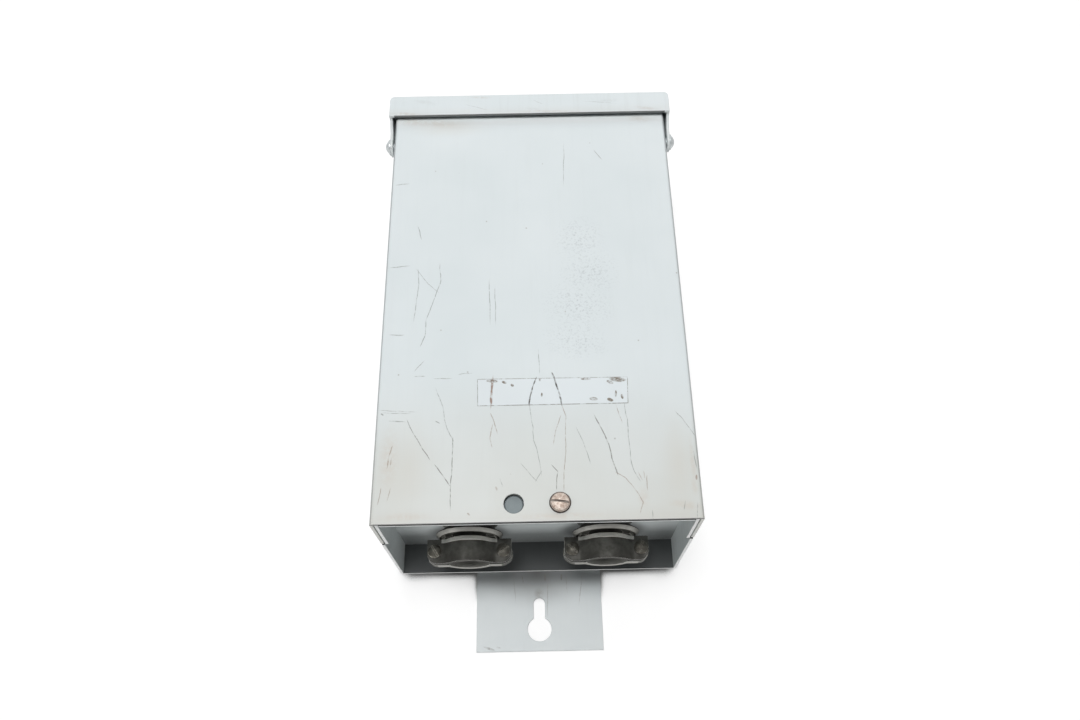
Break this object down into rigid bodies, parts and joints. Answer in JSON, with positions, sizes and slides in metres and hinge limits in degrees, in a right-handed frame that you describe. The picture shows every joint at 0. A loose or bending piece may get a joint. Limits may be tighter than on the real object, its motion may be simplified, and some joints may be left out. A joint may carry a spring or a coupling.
{
  "type": "magnetic motor starter",
  "caption": "Wall-mounted magnetic motor starter in a grey steel enclosure with a rain hood, a hinged screw-fastened cover, clamp connectors below, a reset button and a keyhole mounting strap.",
  "frame": {"origin": "centre of the mounting strap's back face, on the wall plane", "axes": "+X to the right seen from the front, +Y up the box towards the rain hood, +Z out of the wall through the cover"},
  "size_m": [0.163, 0.3312, 0.1071],
  "materials": {
    "enamel": "stoved light blue-grey enamel, worn",
    "rivet_steel": "plain steel rivet",
    "screw_brass": "tarnished copper-plated steel",
    "fibre": "dark vulcanised fibre",
    "steel": "zinc plated",
    "button_plastic": "moulded grey plastic",
    "zinc": "dull die-cast zinc",
    "clamp_screw_steel": "dull plated steel",
    "phenolic": "black moulded phenolic",
    "carrier_phenolic": "brown moulded phenolic",
    "coil_resin": "red-brown encapsulated coil",
    "brass": "plain brass",
    "pin_plastic": "red moulded plastic",
    "ground_green": "green dyed plating"
  },
  "bodies": {
    "enclosure": {"mounting_strap": "enamel", "back_box": "enamel", "top_plate": "enamel", "bottom_plate": "enamel", "hood": "enamel", "hinge_rivets": "rivet_steel", "cover_nut": "steel", "reset_guide": "steel", "reset_bracket": "steel", "reset_spring": "steel", "plate_spacers": "steel", "plate_screws": "steel", "starter_plate": "steel", "magnet_core": "steel", "return_springs": "steel", "terminal_screws": "steel", "arc_cover_screws": "steel", "base_screws": "steel", "heater_screws": "steel", "overload_screws": "steel", "ground_lug": "steel", "heaters": "steel", "left_connector": "zinc", "right_connector": "zinc", "locknuts": "zinc", "contactor_base": "phenolic", "arc_cover": "phenolic", "overload_base": "phenolic", "magnet_coil": "coil_resin", "line_terminals": "brass", "load_straps": "brass", "overload_terminals": "brass", "ground_screw": "ground_green"},
    "cover": {"cover": "enamel"},
    "screw_washer": {"screw_washer": "fibre"},
    "cover_screw": {"cover_screw": "screw_brass"},
    "reset_button": {"reset_button": "button_plastic"},
    "reset_pin": {"reset_pin": "pin_plastic"},
    "contact_carriage": {"armature": "steel", "contact_carrier": "carrier_phenolic", "moving_contacts": "brass", "contact_springs": "steel"},
    "left_saddle": {"left_saddle": "zinc"},
    "left_clamp_screw_a": {"left_clamp_screw_a": "clamp_screw_steel"},
    "left_clamp_screw_b": {"left_clamp_screw_b": "clamp_screw_steel"},
    "right_saddle": {"right_saddle": "zinc"},
    "right_clamp_screw_a": {"right_clamp_screw_a": "clamp_screw_steel"},
    "right_clamp_screw_b": {"right_clamp_screw_b": "clamp_screw_steel"}
  },
  "joints": [
    {"name": "cover_hinge", "type": "hinge", "parent": "enclosure", "child": "cover", "pos_m": [0, 0.09575, 0.098], "axis": [-1, 0, 0], "range_deg": [0, 120]},
    {"name": "screw_washer_travel", "type": "slide", "parent": "cover", "child": "screw_washer", "axis": [0, 0, 1], "range_m": [0, 0.0048]},
    {"name": "cover_screw_turn", "type": "hinge", "parent": "screw_washer", "child": "cover_screw", "pos_m": [0.0107, -0.11475, 0.103], "axis": [0, 0, 1], "range_deg": [0, 2180]},
    {"name": "reset_push", "type": "slide", "parent": "enclosure", "child": "reset_button", "axis": [0, 0, -1], "range_m": [0, 0.004], "stiffness_N_per_m": 300, "springref_m": -0.002, "deforming": ["reset_spring"]},
    {"name": "reset_pin_push", "type": "slide", "parent": "enclosure", "child": "reset_pin", "axis": [0, 0, -1], "range_m": [0, 0.004]},
    {"name": "contactor_pull_in", "type": "slide", "parent": "enclosure", "child": "contact_carriage", "axis": [0, 0, -1], "range_m": [0, 0.004], "stiffness_N_per_m": 600, "springref_m": -0.005, "deforming": ["return_springs"]},
    {"name": "left_saddle_travel", "type": "slide", "parent": "enclosure", "child": "left_saddle", "axis": [0, 0, 1], "range_m": [-0.0011, 0.006]},
    {"name": "left_clamp_screw_a_turn", "type": "hinge", "parent": "left_saddle", "child": "left_clamp_screw_a", "pos_m": [-0.05155, -0.12425, 0.055], "axis": [0, 0, 1], "range_deg": [-500, 2725]},
    {"name": "left_clamp_screw_b_turn", "type": "hinge", "parent": "left_saddle", "child": "left_clamp_screw_b", "pos_m": [-0.01725, -0.12425, 0.055], "axis": [0, 0, 1], "range_deg": [-500, 2725]},
    {"name": "right_saddle_travel", "type": "slide", "parent": "enclosure", "child": "right_saddle", "axis": [0, 0, 1], "range_m": [-0.0011, 0.006]},
    {"name": "right_clamp_screw_a_turn", "type": "hinge", "parent": "right_saddle", "child": "right_clamp_screw_a", "pos_m": [0.01725, -0.12425, 0.055], "axis": [0, 0, 1], "range_deg": [-500, 2725]},
    {"name": "right_clamp_screw_b_turn", "type": "hinge", "parent": "right_saddle", "child": "right_clamp_screw_b", "pos_m": [0.05155, -0.12425, 0.055], "axis": [0, 0, 1], "range_deg": [-500, 2725]}
  ],
  "couplings": [
    {"joint": "cover_screw_turn", "follows": "screw_washer_travel", "rad_per_m": 7913.3},
    {"joint": "reset_pin_push", "follows": "reset_push", "ratio": 1},
    {"joint": "left_clamp_screw_a_turn", "follows": "left_saddle_travel", "rad_per_m": 7913.3},
    {"joint": "left_clamp_screw_b_turn", "follows": "left_saddle_travel", "rad_per_m": 7913.3},
    {"joint": "right_clamp_screw_a_turn", "follows": "right_saddle_travel", "rad_per_m": 7913.3},
    {"joint": "right_clamp_screw_b_turn", "follows": "right_saddle_travel", "rad_per_m": 7913.3}
  ]
}
